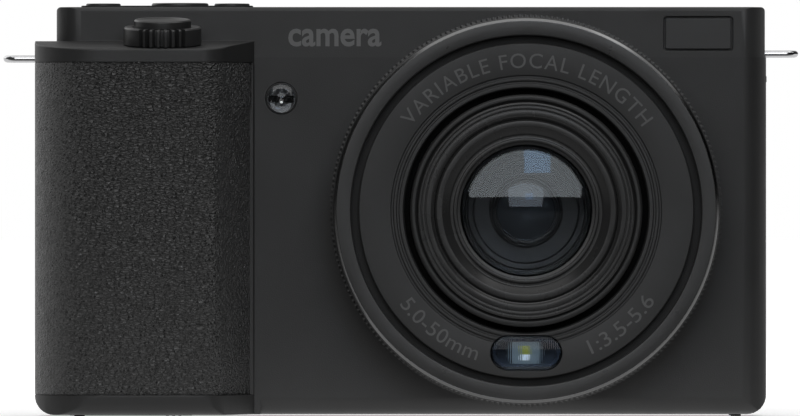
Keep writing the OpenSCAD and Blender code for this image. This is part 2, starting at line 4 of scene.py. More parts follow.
import bmesh
import bpy
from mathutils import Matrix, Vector

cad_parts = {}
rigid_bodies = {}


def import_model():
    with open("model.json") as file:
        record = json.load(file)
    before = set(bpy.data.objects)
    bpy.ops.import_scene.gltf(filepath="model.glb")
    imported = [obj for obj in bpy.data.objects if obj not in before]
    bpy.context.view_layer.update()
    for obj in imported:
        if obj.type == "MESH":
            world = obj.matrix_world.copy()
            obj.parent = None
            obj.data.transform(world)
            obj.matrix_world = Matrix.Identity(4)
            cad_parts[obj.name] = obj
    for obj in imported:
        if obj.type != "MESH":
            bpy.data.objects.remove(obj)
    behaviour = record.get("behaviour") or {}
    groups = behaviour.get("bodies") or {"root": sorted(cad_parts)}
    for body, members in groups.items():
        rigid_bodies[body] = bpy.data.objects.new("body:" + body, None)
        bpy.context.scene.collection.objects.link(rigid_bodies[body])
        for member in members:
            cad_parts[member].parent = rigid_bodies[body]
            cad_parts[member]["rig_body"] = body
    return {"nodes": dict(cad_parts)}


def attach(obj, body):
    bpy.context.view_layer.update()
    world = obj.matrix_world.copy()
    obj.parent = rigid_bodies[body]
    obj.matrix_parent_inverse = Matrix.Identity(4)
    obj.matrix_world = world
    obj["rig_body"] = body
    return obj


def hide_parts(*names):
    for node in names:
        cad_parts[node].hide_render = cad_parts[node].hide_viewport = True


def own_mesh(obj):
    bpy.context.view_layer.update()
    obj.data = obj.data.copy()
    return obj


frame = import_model()
NODES = frame["nodes"]
MM = 0.001
AXIS_Z = 32.8                # height of the optical axis, mm
FRONT_Y = -12.5              # the case's front face, mm
PLATE_Y = -26.4              # the face of the lettered plate round the lens, mm
SEAMS_Z = (57.5, 56.7)       # heights of the seam under the top cover, mm
CAP_Z = 60.1                 # height of the grip's top at the case's front face, mm
TILT = math.radians(5.5)     # how far that top slopes down to the front
LEVER = (-58.4, -19.6, CAP_Z - 7.1 * math.tan(TILT))    # middle of the zoom lever's seat, mm


# ---------------------------------------------------------------- materials

class Nodes:
    """Short hand for building a material's node tree."""

    def __init__(self, name):
        self.mat = bpy.data.materials.new(name)
        self.mat.use_nodes = True
        self.tree = self.mat.node_tree
        self.shader = self.tree.nodes["Principled BSDF"]
        self.place = self.tree.nodes.new("ShaderNodeTexCoord").outputs["Object"]

    def add(self, kind, **values):
        n = self.tree.nodes.new(kind)
        for key, value in values.items():
            if hasattr(n, key):
                setattr(n, key, value)
            else:
                n.inputs[key.replace("_", " ")].default_value = value
        return n

    def link(self, a, b):
        self.tree.links.new(a, b)

    def noise(self, scale, detail=3.0, rough=0.5, source=None):
        n = self.add("ShaderNodeTexNoise", Scale=scale, Detail=detail, Roughness=rough)
        self.link(source or self.place, n.inputs["Vector"])
        return n.outputs["Fac"]

    def remap(self, source, low, high, start=0.3, end=0.7):
        n = self.add("ShaderNodeMapRange", From_Min=start, From_Max=end, To_Min=low, To_Max=high)
        self.link(source, n.inputs["Value"])
        return n.outputs["Result"]

    def math(self, what, a, b):
        n = self.add("ShaderNodeMath", operation=what)
        for socket, value in zip(n.inputs, (a, b)):
            if isinstance(value, (int, float)):
                socket.default_value = value
            else:
                self.link(value, socket)
        return n.outputs[0]

    def bump(self, height, strength, distance, below=None):
        n = self.add("ShaderNodeBump", Strength=strength, Distance=distance)
        self.link(height, n.inputs["Height"])
        if below is not None:
            self.link(below, n.inputs["Normal"])
        return n.outputs["Normal"]

    def shade(self, dark, light, by):
        n = self.add("ShaderNodeMix", data_type="RGBA")
        for socket in n.inputs:
            if socket.type == "RGBA":
                socket.default_value = (*(dark if socket.name == "A" else light), 1)
        self.link(by, n.inputs["Factor"])
        return [o for o in n.outputs if o.type == "RGBA"][0]

    def set(self, **values):
        for key, value in values.items():
            self.shader.inputs[key.replace("_", " ")].default_value = value


def grey(v):
    return (v, v, v)


def surface(name, colour, rough, grain, depth, specular=0.5, metallic=0.0, spread=0.12, coat=0.0):
    """A moulded, painted or turned surface: speckled colour, uneven gloss and a fine grain.

    grain is how fine the grain is, depth how strongly it shows, spread how far the colour varies.
    """
    n = Nodes(name)
    n.set(Specular_IOR_Level=specular, Metallic=metallic, Coat_Weight=coat)
    dark, light = ([c * k for c in colour] for k in (1 - spread, 1 + spread))
    n.link(n.shade(dark, light, n.noise(55, 4)), n.shader.inputs["Base Color"])
    n.link(n.remap(n.noise(120, 5, 0.6), rough - 0.05, rough + 0.06), n.shader.inputs["Roughness"])
    n.link(n.bump(n.noise(grain, 2), depth, 0.00006), n.shader.inputs["Normal"])
    return n.mat


def leather():
    """Embossed grain: pebbles with creases between them, over soft undulation; the creases are
    also painted darker, as painted shade.
    """
    n = Nodes("leather")
    n.set(Specular_IOR_Level=1.0)
    stretch = n.add("ShaderNodeMapping")
    stretch.inputs["Scale"].default_value = (0.5, 0.75, 1.0)
    stretch.inputs["Rotation"].default_value = (0, math.radians(16), 0)
    n.link(n.place, stretch.inputs["Vector"])
    wobble = n.add("ShaderNodeTexNoise", Scale=1400, Detail=3)
    n.link(n.place, wobble.inputs["Vector"])
    warp = n.add("ShaderNodeVectorMath", operation="MULTIPLY_ADD")
    n.link(wobble.outputs["Color"], warp.inputs[0])
    warp.inputs[1].default_value = (0.0005, 0.0005, 0.0005)
    n.link(stretch.outputs["Vector"], warp.inputs[2])
    cells = n.add("ShaderNodeTexVoronoi", feature="DISTANCE_TO_EDGE", Scale=2200)
    n.link(warp.outputs[0], cells.inputs["Vector"])
    pebble_and_crease_shade = n.remap(cells.outputs["Distance"], 0, 1, 0.0, 0.3)
    swell = n.noise(1500, 2, 0.5, stretch.outputs["Vector"])
    height = n.math("ADD", n.math("MULTIPLY", pebble_and_crease_shade, 0.45), swell)
    # painted shade: the base colour is darker in the creases between the pebbles and lighter on
    # their tops
    n.link(n.shade(grey(0.002), grey(0.014), pebble_and_crease_shade), n.shader.inputs["Base Color"])
    n.link(n.remap(n.noise(700, 4), 0.36, 0.5), n.shader.inputs["Roughness"])
    normal = n.bump(height, 1.0, 0.001, n.bump(n.noise(260, 3), 0.5, 0.0002))
    n.link(normal, n.shader.inputs["Normal"])
    return n.mat


def glass(name, tint, ior, rough=0.0, ribs=0.0, glint=(1, 1, 1)):
    """Clear glass with a trace of smears; ribs is the depth of fine upright prisms."""
    n = Nodes(name)
    n.set(Base_Color=(*tint, 1), Transmission_Weight=1.0, IOR=ior, Specular_Tint=(*glint, 1))
    smears = n.remap(n.noise(160, 4, 0.7), rough, rough + 0.002, 0.6, 0.85)
    n.link(smears, n.shader.inputs["Roughness"])
    if ribs:
        wave = n.add("ShaderNodeTexWave", wave_type="BANDS", bands_direction="X", Scale=950)
        n.link(n.place, wave.inputs["Vector"])
        n.link(n.bump(wave.outputs["Fac"], 0.6, ribs), n.shader.inputs["Normal"])
    else:
        n.link(n.bump(n.noise(60, 1), 0.01, 0.0002), n.shader.inputs["Normal"])
    return n.mat


def glow(name, colour, strength):
    """A matt surface that gives off a little light of its own; on the flash's plate this is
    painted glow.
    """
    n = Nodes(name)
    n.set(Emission_Strength=strength, Emission_Color=(*colour, 1))
    speckle = n.shade([c * 0.85 for c in colour], colour, n.noise(3000, 3))
    n.link(speckle, n.shader.inputs["Base Color"])
    n.link(n.remap(n.noise(900, 3), 0.4, 0.6), n.shader.inputs["Roughness"])
    n.link(n.bump(n.noise(9000, 2), 0.3, 0.00003), n.shader.inputs["Normal"])
    return n.mat


M = {
    "case": surface("case_plastic", grey(0.022), 0.48, 5200, 0.3, 0.4),
    "top": surface("top_plastic", grey(0.026), 0.48, 5200, 0.3, 0.42),
    "leather": leather(),
    "plate": surface("plate_plastic", grey(0.024), 0.46, 5200, 0.2, 0.42),
    "ring": surface("ring_anodised", grey(0.026), 0.38, 6500, 0.2, 0.45),
    "rim": surface("rim_anodised", grey(0.024), 0.32, 6500, 0.15, 0.5),
    "tube": surface("tube_plastic", grey(0.02), 0.42, 5200, 0.2, 0.4),
    "inner_black": surface("inner_black", grey(0.011), 0.42, 5200, 0.02, 0.3, spread=0.05),
    "tube_gloss": surface("tube_lacquer", grey(0.024), 0.26, 5200, 0.05, 0.45),
    "polish": surface("polished_edge", grey(0.16), 0.2, 6500, 0.05, 0.5, 1.0),
    "panel": surface("panel_plastic", grey(0.02), 0.34, 2600, 0.08, 0.45),
    "gloss": surface("gloss_plastic", grey(0.016), 0.14, 2600, 0.05, 0.5),
    "matte": surface("matte_plastic", grey(0.012), 0.6, 5200, 0.3, 0.3),
    "cavity": surface("cavity_black", grey(0.004), 0.7, 5200, 0.3, 0.15),
    "button": surface("button_plastic", grey(0.022), 0.38, 5200, 0.15, 0.45),
    "wire": surface("bright_wire", (0.62, 0.62, 0.63), 0.16, 3000, 0.12, 0.5, 1.0),
    "steel": surface("satin_steel", (0.5, 0.5, 0.51), 0.32, 3600, 0.2, 0.5, 1.0),
    "brass": surface("brass", (0.72, 0.55, 0.25), 0.3, 3600, 0.2, 0.5, 1.0),
    "white": surface("moulded_white", (0.72, 0.72, 0.69), 0.45, 4200, 0.2),
    "board": surface("solder_mask", (0.02, 0.11, 0.05), 0.35, 2600, 0.3, 0.5, coat=0.2),
    "sleeve": surface("battery_sleeve", (0.07, 0.075, 0.085), 0.35, 2600, 0.2),
    "card": surface("card_plastic", (0.03, 0.04, 0.09), 0.4, 4200, 0.2),
    "display": surface("display_black", (0.004, 0.005, 0.008), 0.04, 600, 0.01, 0.35),
    "screen": surface("screen_glass", grey(0.006), 0.05, 600, 0.02, 0.5, coat=0.4),
    "letter": surface("printed_grey", grey(0.09), 0.5, 5200, 0.2),
    "lens": glass("coated_glass", (0.9, 0.95, 1.0), 1.37, glint=(0.9, 0.96, 1.0)),
    "inner_glass": glass("inner_glass", (0.85, 0.92, 1.0), 1.3),
    "clear": glass("clear_plastic", (0.9, 0.93, 0.97), 1.45, 0.01),
    "ribbed": glass("ribbed_plastic", (0.6, 0.72, 0.88), 1.38, 0.01, 0.00005),
    "lamp_dark": surface("lamp_dark", (0.012, 0.017, 0.026), 0.3, 2600, 0.03, 0.5),
    # painted glow: the flash's plate gives off light though it is no lamp
    "lamp_plate_painted_glow": glow("lamp_plate_painted_glow", (0.3, 0.34, 0.33), 0.25),
    "cup": surface("lamp_cup", grey(0.2), 0.22, 2600, 0.05, 0.6),
    "mark": surface("printed_mark", grey(0.12), 0.45, 5200, 0.2),
    "red": surface("printed_red", (0.35, 0.03, 0.02), 0.45, 5200, 0.2),
    "phosphor": glow("phosphor", (0.5, 0.48, 0.08), 0.3),
    "die": glow("led_white", (0.9, 0.9, 0.86), 0.55),
}


# ---------------------------------------------------------------- geometry

def shaded(mesh, angle):
    for p in mesh.polygons:
        p.use_smooth = True
    mesh.set_sharp_from_angle(angle=math.radians(angle))


def piece(name, mesh, mat, body, angle, replaces=()):
    """Shows a mesh on a body. Edges sharper than angle, in degrees, stay hard."""
    mesh.name = name
    obj = bpy.data.objects.new(name, mesh)
    bpy.context.scene.collection.objects.link(obj)
    mesh.materials.clear()
    mesh.materials.append(M[mat])
    shaded(mesh, angle)
    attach(obj, body)
    if replaces:
        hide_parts(*replaces)
    return obj


def from_bmesh(bm):
    bmesh.ops.recalc_face_normals(bm, faces=bm.faces)
    mesh = bpy.data.meshes.new("m")
    bm.to_mesh(mesh)
    bm.free()
    return mesh


def solid(verts, faces):
    """A mesh from points in mm. A face that comes twice is made once."""
    bm = bmesh.new()
    made = [bm.verts.new([c * MM for c in v]) for v in verts]
    for f in faces:
        try:
            bm.faces.new([made[i] for i in f])
        except ValueError:
            pass
    bmesh.ops.remove_doubles(bm, verts=bm.verts, dist=1e-7)
    return from_bmesh(bm)


def softened(points, size, steps=3):
    """The closed outline with each corner turned into a small curve."""
    out = []
    for i, p in enumerate(points):
        a, b = Vector(points[i - 1]), Vector(points[(i + 1) % len(points)])
        v = Vector(p)
        cut_a = min(size, (a - v).length * 0.45)
        cut_b = min(size, (b - v).length * 0.45)
        s, e = v + (a - v).normalized() * cut_a, v + (b - v).normalized() * cut_b
        for k in range(steps + 1):
            t = k / steps
            q = s * (1 - t) ** 2 + v * 2 * t * (1 - t) + e * t ** 2
            out.append((q.x, q.y))
    return out


def on_top(r, a, h):
    """The point at this radius and angle, h above the zoom lever's tilted seat."""
    x, y = r * math.cos(a), r * math.sin(a)
    return (LEVER[0] + x, LEVER[1] + y * math.cos(TILT) - h * math.sin(TILT),
            LEVER[2] + y * math.sin(TILT) + h * math.cos(TILT))


def lathe(profile, around, soft, centre=(0, AXIS_Z), wave=None, put=None):
    """Turns a closed profile of (radius, y) points about an axis along Y, or about put's own axis.

    wave(k, radius, y) may change a radius.
    """
    put = put or (lambda r, a, y: (centre[0] + r * math.cos(a), y, centre[1] + r * math.sin(a)))
    points = softened(profile, soft) if soft else profile
    verts, faces = [], []
    n = len(points)
    for k in range(around):
        a = 2 * math.pi * k / around
        for r, y in points:
            if wave:
                r = wave(k, r, y)
            verts.append(put(r, a, y))
    for k in range(around):
        m = (k + 1) % around
        for i in range(n):
            j = (i + 1) % n
            faces.append((k * n + i, k * n + j, m * n + j, m * n + i))
    return solid(verts, faces)


def arc(cx, cy, r, a0, a1, n):
    """n + 1 points round a centre, from angle a0 to a1 in degrees."""
    return [(cx + r * math.cos(math.radians(a0 + (a1 - a0) * i / n)),
             cy + r * math.sin(math.radians(a0 + (a1 - a0) * i / n))) for i in range(n + 1)]


def rounded(x0, z0, x1, z1, r, n):
    """A rectangle with round corners, n steps to a corner."""
    return (arc(x0 + r, z0 + r, r, 180, 270, n) + arc(x1 - r, z0 + r, r, 270, 360, n)
            + arc(x1 - r, z1 - r, r, 0, 90, n) + arc(x0 + r, z1 - r, r, 90, 180, n))


def inset(points, d):
    """The outline moved inwards by d, for outlines that run anticlockwise."""
    out = []
    n = len(points)
    for i in range(n):
        a, b, c = Vector(points[i - 1]), Vector(points[i]), Vector(points[(i + 1) % n])
        normal = Vector((0, 0))
        for s, e in ((a, b), (b, c)):
            along = e - s
            if along.length > 1e-9:
                normal += Vector((-along.y, along.x)).normalized()
        if normal.length > 1e-9:
            normal.normalize()
        out.append((b.x + normal.x * d, b.y + normal.y * d))
    return out


def slab(outline, levels, put):
    """Skins a stack of [height, inset] levels of one outline; put(x, y, h) gives the 3-D point."""
    rings = [[put(x, y, h) for x, y in inset(outline, d)] for h, d in levels]
    n = len(outline)
    verts = [v for ring in rings for v in ring]
    faces = [tuple(range(n)), tuple(range((len(rings) - 1) * n, len(rings) * n))]
    for k in range(len(rings) - 1):
        for i in range(n):
            j = (i + 1) % n
            faces.append((k * n + i, k * n + j, (k + 1) * n + j, (k + 1) * n + i))
    return solid(verts, faces)


def along_y(x, z, y):
    return (x, y, z)


def block(low, high, bevel=0.08):
    """A box between two corners, mm, with broken edges."""
    bm = bmesh.new()
    bmesh.ops.create_cube(bm, size=1)
    for v in bm.verts:
        v.co = Vector([(a + b) / 2 + c * (b - a) for a, b, c in zip(low, high, v.co)]) * MM
    bmesh.ops.bevel(bm, geom=bm.edges[:], offset=bevel * MM, segments=2, profile=0.5,
                    affect="EDGES")
    return from_bmesh(bm)


def evaluated(obj):
    """A mesh of the object as it stands, with its modifiers or as a text's faces."""
    return bpy.data.meshes.new_from_object(
        obj.evaluated_get(bpy.context.evaluated_depsgraph_get()))


def subtract(mesh, cutter):
    """mesh less cutter, both in place."""
    a = bpy.data.objects.new("cut_a", mesh)
    b = bpy.data.objects.new("cut_b", cutter)
    for o in (a, b):
        bpy.context.scene.collection.objects.link(o)
    mod = a.modifiers.new("cut", "BOOLEAN")
    mod.operation, mod.solver, mod.object = "DIFFERENCE", "EXACT", b
    done = evaluated(a)
    for o in (a, b):
        bpy.data.objects.remove(o)
    return done


SHARP = math.radians(38)      # edges sharper than this get broken


def dressed(node, mat, bevel=0.12, keep=None, soft=None):
    """The CAD node's own shape with its sharp edges broken; keep(edge) may spare some.

    soft is (test, size): edges whose ends both pass the test, in mm, get this larger radius.
    """
    def is_sharp(e):
        return e.calc_face_angle(0) > SHARP

    source = NODES[node]
    bm = bmesh.new()
    bm.from_mesh(source.data)
    bmesh.ops.remove_doubles(bm, verts=bm.verts, dist=2e-7)
    bmesh.ops.dissolve_limit(bm, angle_limit=math.radians(0.6), verts=bm.verts, edges=bm.edges)
    bmesh.ops.recalc_face_normals(bm, faces=bm.faces)
    if soft:
        test, size = soft
        wide = [e for e in bm.edges if is_sharp(e) and all(test(*(v.co / MM)) for v in e.verts)]
        bmesh.ops.bevel(bm, geom=wide, offset=size * MM, segments=4, profile=0.5, affect="EDGES",
                        clamp_overlap=True)
    if bevel:
        sharp = [e for e in bm.edges
                 if len(e.link_faces) == 2 and is_sharp(e) and (keep is None or keep(e))]
        bmesh.ops.bevel(bm, geom=sharp, offset=bevel * MM, segments=2, profile=0.5, affect="EDGES",
                        clamp_overlap=False)
    mesh = bpy.data.meshes.new(node)
    bm.to_mesh(mesh)
    bm.free()
    obj = piece(node + "_look", mesh, mat, source["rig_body"], 30, (node,))
    obj.modifiers.new("flat", "WEIGHTED_NORMAL").keep_sharp = True


def plain(node, mat):
    """Shows the CAD node itself, in this material."""
    o = NODES[node]
    o.data.materials.clear()
    o.data.materials.append(M[mat])


def tube(path, radius, around=20):
    """A round wire along a path of points, mm."""
    pts = [Vector(p) for p in path]
    verts, faces = [], []
    side = None
    for i, p in enumerate(pts):
        t = (pts[min(i + 1, len(pts) - 1)] - pts[max(i - 1, 0)]).normalized()
        if side is None:
            side = t.orthogonal().normalized()
        side = (side - t * side.dot(t)).normalized()
        up = t.cross(side)
        for k in range(around):
            a = 2 * math.pi * k / around
            verts.append(p + (side * math.cos(a) + up * math.sin(a)) * radius)
    for i in range(len(pts) - 1):
        this, following = i * around, (i + 1) * around
        for k in range(around):
            m = (k + 1) % around
            faces.append((this + k, this + m, following + m, following + k))
    faces.append(tuple(range(around)))
    faces.append(tuple(range((len(pts) - 1) * around, len(pts) * around)))
    return solid(verts, faces)


# ---------------------------------------------------------------- case

def off_seam(e):
    """Leaves out the edges where the top cover meets the others, so the seam stays a fine line."""
    return not all(any(abs(v.co.z / MM - z) < 0.05 for z in SEAMS_Z) for v in e.verts)


dressed("front_cover", "case", keep=off_seam)
dressed("rear_cover", "case", keep=off_seam)


def on_cap_rim(x, y, z):
    """Whether a point is on the outer rim of the grip's tilted top."""
    level = abs(z - (CAP_Z + (y - FRONT_Y) * math.tan(TILT))) < 0.03
    return level and y < FRONT_Y - 1 and math.hypot(x - LEVER[0], y - LEVER[1]) > 4


dressed("top_cover", "top", 0.1, keep=off_seam, soft=(on_cap_rim, 0.55))
for node, mat, bevel in (
        ("front_window_panel", "panel", 0.1), ("control_plate", "matte", 0.08),
        ("thumb_pad", "matte", 0.15), ("battery_door", "case", 0.1), ("port_door", "case", 0.08),
        ("door_latch", "matte", 0.06), ("feet", "matte", 0.1), ("tripod_socket", "steel", 0.15),
        ("case_screws", "steel", 0.06)):
    dressed(node, mat, bevel)


RIB_PITCH = 10.7      # degrees from rib to rib on the zoom lever


def lever_ribs(k, r, _):
    """Upright ribs on the front of the lever; a step k is half a degree."""
    off = k * 0.5 - 270      # degrees from the middle of the front
    if r < 5.5 or abs(off) > 37.5:
        return r
    return r - 1.2 if 0.2 < (off / RIB_PITCH + 0.5) % 1 < 0.8 else r + 0.25


button = [(0, -3.5), (1.3, -3.5), (1.3, 2.05), (4.6, 2.05), (4.6, 3.9), (4.35, 4.15),
          (4.05, 4.12), (3.6, 3.94), (2, 3.78), (0, 3.72)]
piece("shutter_button_look", lathe(button, 192, 0.06, put=on_top), "button", "shutter_button", 30,
      ("shutter_button",))
lever = [(1.6, -2.6), (3.02, -2.6), (3.02, 0.15), (6.25, 0.15), (6.25, 2.7), (6.0, 2.95),
         (4.95, 2.95), (4.75, 2.75), (4.75, 0.95), (1.6, 0.95)]
piece("zoom_lever_look", lathe(lever, 720, 0.06, wave=lever_ribs, put=on_top), "ring",
      "zoom_lever", 25, ("zoom_lever",))
for key in ("power_button", "record_button", "mode_button", "play_button", "menu_button",
            "four_way_pad", "ok_button"):
    dressed(key, "button", 0.12)
dressed("lcd_glass", "screen", 0.15)


SKIN_DEPTH = 0.72      # how far in the skin's inner face lies, mm


def grip_outline(off):
    """The line round the grip, off mm inside it, from the back of the left end to the flank."""
    end_r, nose_r, slant = 10.5 - off, 4 - off, 23
    line = [(-79 + off, -1), (-79 + off, -6), (-79 + off, -11)]
    line += arc(-68.5, -15.5, end_r, 180, 270, 20)
    line += [(-65, -26 + off), (-60, -26 + off), (-56, -26 + off)]
    line += arc(-52.1, -22, nose_r, 270, 360 - slant, 10)
    x, y = line[-1]
    run = -12.82 - y
    for t in (0.2, 0.4, 0.6, 0.8, 1.0):
        line.append((x + run * t * math.tan(math.radians(slant)), y + run * t))
    return line


def grip_skin():
    """A sheet between the outer and the inner line, thin at its edges, hollow at the flank."""
    outer, inner = grip_outline(0.02), grip_outline(SKIN_DEPTH)
    low, high, rows = 3.23, 56.67, 40
    levels = [(low, SKIN_DEPTH), (low, 0.1), (low + 0.1, 0.02), (low + 0.4, 0.0)]
    levels += [(low + 0.4 + (high - low - 0.8) * k / rows, 0.0) for k in range(1, rows)]
    levels += [(high - 0.4, 0.0), (high - 0.1, 0.02), (high, 0.1), (high, SKIN_DEPTH)]
    n = len(outer)
    verts, faces = [], []
    for z, d in levels:
        for i in range(n):
            o, q = Vector(outer[i]), Vector(inner[i])
            ends = {0: 0.35, 1: 0.06, n - 2: 0.06, n - 1: 0.35}.get(i, 0.0)
            p = o.lerp(q, min(1.0, max(d / SKIN_DEPTH, ends)))
            flank = max(0.0, min(1.0, (p.x + 49.8) / 1.5))
            hollow = max(0.0, min(1.0, (49.6 - z) / 1.2)) * flank
            p = p.lerp(q, 0.55 * hollow)
            verts.append((p.x, p.y, z))
    back = len(verts)
    verts += [(x, y, z) for z, _ in levels for x, y in inner]
    for k in range(len(levels) - 1):
        this, above = k * n, (k + 1) * n
        for i in range(n - 1):
            faces.append((this + i, this + i + 1, above + i + 1, above + i))
            faces.append((back + this + i, back + above + i, back + above + i + 1,
                          back + this + i + 1))
        for i in (0, n - 1):
            faces.append((this + i, above + i, back + above + i, back + this + i))
    piece("grip_skin_look", solid(verts, faces), "leather", "case", 60, ("grip_skin",))


grip_skin()


def strap_loop(name, x, side, z):
    """A wire loop that stands out of the case's end at x; side is 1 or -1."""
    leg, bend, tip = 3.95, 1.6, x + side * 4.75
    path = [(x - side * 2, -leg, z), (tip - side * bend, -leg, z)]
    for k in range(1, 9):
        a = math.pi / 2 * k / 8
        path.append((tip - side * bend * (1 - math.sin(a)), -leg + bend * (1 - math.cos(a)), z))
    path += [(tip, 0, z)]
    path += [(px, -py, z) for px, py, _ in reversed(path[:-1])]
    piece(name + "_look", tube(path, 0.55), "wire", "case", 60, (name,))


strap_loop("strap_loop_left", -79, -1, 57.3)
strap_loop("strap_loop_right", 38.8, 1, 58.1)


# ---------------------------------------------------------------- lens

TEETH = 228
TOOTH_STEPS = 4        # steps of the lathe to a tooth and its gap
TOOTH_DEPTH = 0.44     # mm


def knurl(k, r, y):
    """Straight teeth along the ring's side, closed by a flange at the back."""
    if r < 31.2 or not -24.75 < y < -13.55:
        return r
    return r if k % TOOTH_STEPS < TOOTH_STEPS / 2 else r - TOOTH_DEPTH


ring = [(29.7, -25.1), (31.05, -25.1), (31.1, -24.8), (31.5, -24.7), (31.5, -13.6),
        (31.5, -13.5), (31.2, -13.2), (28.4, -13.2), (28.4, -14.7), (29.7, -14.7)]
piece("control_ring_look", lathe(ring, TEETH * TOOTH_STEPS, 0, wave=knurl), "ring",
      "control_ring", 25, ("control_ring",))
trim = [(28.1, -25.1), (28.1, -26.8), (28.25, -27), (30.4, -27), (30.8, -26.6), (30.8, -26.2),
        (31, -26.1), (31, -25.1)]
piece("control_ring_trim_look", lathe(trim, 360, 0.07), "rim", "control_ring", 25,
      ("control_ring_trim",))
edge = [(30.4, -27.0), (30.45, -27.0), (30.85, -26.6), (30.85, -26.4), (30.3, -26.8)]
piece("control_ring_edge", lathe(edge, 360, 0.03), "polish", "control_ring", 40)
dressed("lens_base", "matte", 0)


def pill(w, h):
    """A bar with round ends, where the flash window sits."""
    return [(x, z + 10) for x, z in rounded(-w / 2, -h / 2, w / 2, h / 2, h / 2 - 0.001, 16)]


groove = PLATE_Y + 0.3
plate = [(19.6, -25), (19.6, groove), (19.8, PLATE_Y), (20.35, PLATE_Y), (20.45, groove),
         (20.75, groove), (20.85, PLATE_Y), (21.25, PLATE_Y), (21.35, groove), (21.65, groove),
         (21.75, PLATE_Y), (26.75, PLATE_Y), (26.9, PLATE_Y + 0.15), (26.9, -25)]
window_hole = slab(pill(11.6, 5.7), [(-30, 0), (-20, 0)], along_y)
piece("bezel_plate_look", subtract(lathe(plate, 288, 0.06), window_hole), "plate", "case", 25,
      ("bezel_plate",))

barrel = [(18.75, 1.5), (18.75, -22), (19.5, -22), (19.5, -24.9), (20.2, -24.9), (20.2, 0.3),
          (23, 0.3), (23, 1.5)]
piece("fixed_barrel_look", lathe(barrel, 192, 0.05), "cavity", "case", 25, ("fixed_barrel",))
outer = [(17.46, -3), (17.46, -26.95), (17.6, -27.0), (17.8, -27.3), (18.35, -27.3),
         (18.65, -26.9), (18.65, -3)]
piece("zoom_tube_outer_look", lathe(outer, 256, 0.12), "tube", "zoom_outer", 25,
      ("zoom_tube_outer",))
middle = [(14.78, -26.3), (14.78, -27.1), (14.98, -27.15), (15.0, -27.38), (15.32, -27.7),
          (16.05, -27.7), (16.1, -27.58), (16.25, -27.58), (16.3, -27.7), (16.7, -27.7),
          (16.75, -27.58), (16.9, -27.58), (16.95, -27.7), (17.2, -27.7), (17.4, -27.5),
          (17.4, -4), (16.3, -4), (16.3, -26.3)]
piece("zoom_tube_middle_look", lathe(middle, 256, 0.04), "tube_gloss", "zoom_middle", 25,
      ("zoom_tube_middle",))
inner = [(10.6, -22), (10.6, -26), (11.05, -26), (11.15, -26.4), (11.6, -26.4), (11.7, -26.1),
         (12.2, -26.1), (13.35, -27.25), (13.5, -27.4), (14.35, -27.4), (14.7, -27.05),
         (14.7, -8), (16.15, -8), (16.15, -6.5), (13.6, -6.5), (13.6, -22)]
piece("zoom_tube_inner_look", lathe(inner, 256, 0.06), "tube_gloss", "zoom_inner", 25,
      ("zoom_tube_inner",))


def meniscus(curve, apex, thick, rim, steps=24):
    """A lens with both faces bulging forwards, so that its two reflections lie together."""
    half = math.asin(rim / curve)
    out = []
    for r, order in ((curve, range(steps + 1)), (curve - thick, range(steps, -1, -1))):
        for k in order:
            a = half * k / steps
            out.append((r * math.sin(a), apex + curve - r * math.cos(a)))
    return out


piece("front_lens_look", lathe(meniscus(52, -25, 0.9, 10.35), 192, 0), "lens", "zoom_inner", 25,
      ("front_lens",))
baffle = [(10.4, -22.4), (9.5, -22.4), (9.3, -21.6), (8.5, -21.5), (8.3, -20.8), (5.9, -20.6),
          (5.6, -20.9), (5.3, -20.6), (5.2, -19.9), (4.8, -19.8), (4.6, -19.1), (10.4, -19.1)]
piece("lens_baffle", lathe(baffle, 192, 0.08), "inner_black", "zoom_inner", 20)
cell = [(10.3, -22.95), (9.75, -22.6), (9.6, -22.42), (10.3, -22.42)]
piece("lens_cell", lathe(cell, 192, 0.03), "gloss", "zoom_inner", 20)
leaf = [(0, -17.7), (4.55, -17.7), (4.55, -17.5), (0, -17.5)]
piece("shutter_leaf", lathe(leaf, 96, 0.03), "inner_black", "zoom_inner", 20)
piece("second_glass", lathe(meniscus(15, -20.3, 0.6, 4.7), 96, 0), "inner_glass", "zoom_inner",
      25)
dressed("shutter_unit", "inner_black", 0.05)


# ---------------------------------------------------------------- lamps

window = slab(pill(11.2, 5.3), [(-25.6, 0), (-26.3, 0), (-26.45, 0.06), (-26.5, 0.2)], along_y)
piece("flash_window_look", window, "ribbed", "case", 30, ("flash_window",))
dressed("flash_reflector", "lamp_dark", 0.08)
piece("flash_led_look", block((-0.6, -23.15, 9.8), (0.6, -22.45, 11.0)), "phosphor", "case", 30,
      ("flash_led",))
# painted glow: the plate behind the flash's parts shines faintly though it is no lamp
piece("flash_plate", block((-2.1, -22.7, 8.35), (2.1, -22.41, 11.65)), "lamp_plate_painted_glow", "case", 30)
piece("flash_die", block((-0.5, -23.2, 8.9), (0.5, -22.5, 9.75), 0.05), "die", "case", 30)

LAMP = (-39.35, 50.9)      # middle of the lamp beside the lens: x and height, mm


def in_lamp(name, low, high, mat):
    """A small block in the lamp; low and high are measured from its middle."""
    corners = [(LAMP[0] + x, y, LAMP[1] + z) for x, y, z in (low, high)]
    piece(name, block(*corners), mat, "case", 30)


